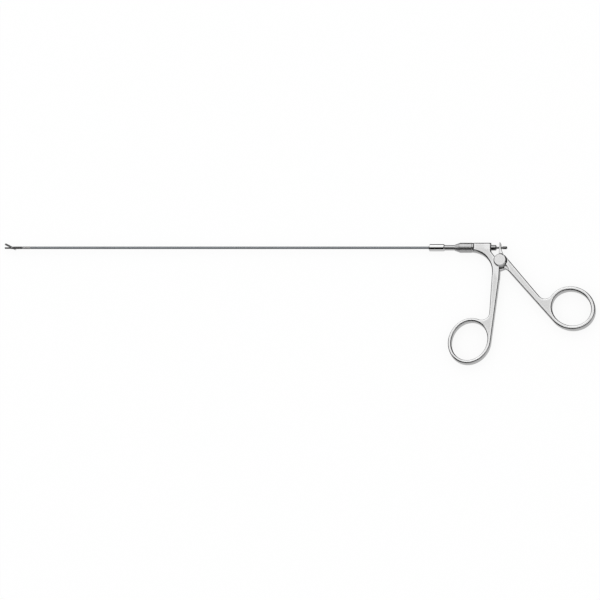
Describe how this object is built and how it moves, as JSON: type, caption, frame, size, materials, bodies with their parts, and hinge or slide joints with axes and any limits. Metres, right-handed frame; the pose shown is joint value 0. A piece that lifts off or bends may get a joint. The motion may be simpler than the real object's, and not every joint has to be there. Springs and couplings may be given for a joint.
{
  "type": "endoscopic scissors",
  "caption": "Thin-shaft endoscopic scissors: ring handle, pivoted thumb lever, pull rod and a small single-action jaw whose upper blade closes on a fixed lower blade.",
  "frame": {"origin": "on the shaft's axis at the front face of the ferrule, where the working length ends", "axes": "+X along the shaft towards the handle, +Y up in the plane of the rings away from the finger ring, +Z along the hinge axes, the side of the pivot's disk head, up when the scissors lie flat"},
  "size_m": [0.3915, 0.0826, 0.007],
  "materials": {
    "handle_steel": "satin",
    "satin_steel": "fine satin",
    "polished_steel": "polished",
    "shaft_steel": "ground and polished",
    "blade_steel": "ground"
  },
  "bodies": {
    "handle": {"fixed_handle": "handle_steel", "pivot_stud": "polished_steel", "pivot_nut": "satin_steel", "guide_bush": "satin_steel", "hub_nut": "satin_steel", "hub_ring": "polished_steel", "shaft_neck": "satin_steel", "shaft_ferrule": "polished_steel", "shaft_tube": "shaft_steel", "head_sleeve": "satin_steel", "jaw_head": "shaft_steel", "jaw_pivot": "shaft_steel"},
    "thumb_handle": {"thumb_handle": "handle_steel"},
    "pull_rod": {"drive_rod": "polished_steel", "rod_end_nut": "satin_steel", "pull_wire": "shaft_steel", "drive_yoke": "shaft_steel", "drive_pin": "shaft_steel"},
    "upper_blade": {"moving_blade": "blade_steel"}
  },
  "joints": [
    {"name": "thumb_pivot", "type": "hinge", "parent": "handle", "child": "thumb_handle", "pos_m": [0.04748, -0.00915, 0], "axis": [0, 0, 1], "range_deg": [-12, 0]},
    {"name": "rod_slide", "type": "slide", "parent": "handle", "child": "pull_rod", "axis": [1, 0, 0], "range_m": [0, 0.00192]},
    {"name": "blade_pivot", "type": "hinge", "parent": "handle", "child": "upper_blade", "pos_m": [-0.2751, 0, 0], "axis": [0, 0, 1], "range_deg": [0, 27]}
  ],
  "couplings": [
    {"joint": "rod_slide", "follows": "thumb_pivot", "m_per_rad": -0.0091383},
    {"joint": "blade_pivot", "follows": "thumb_pivot", "ratio": -2.25}
  ]
}
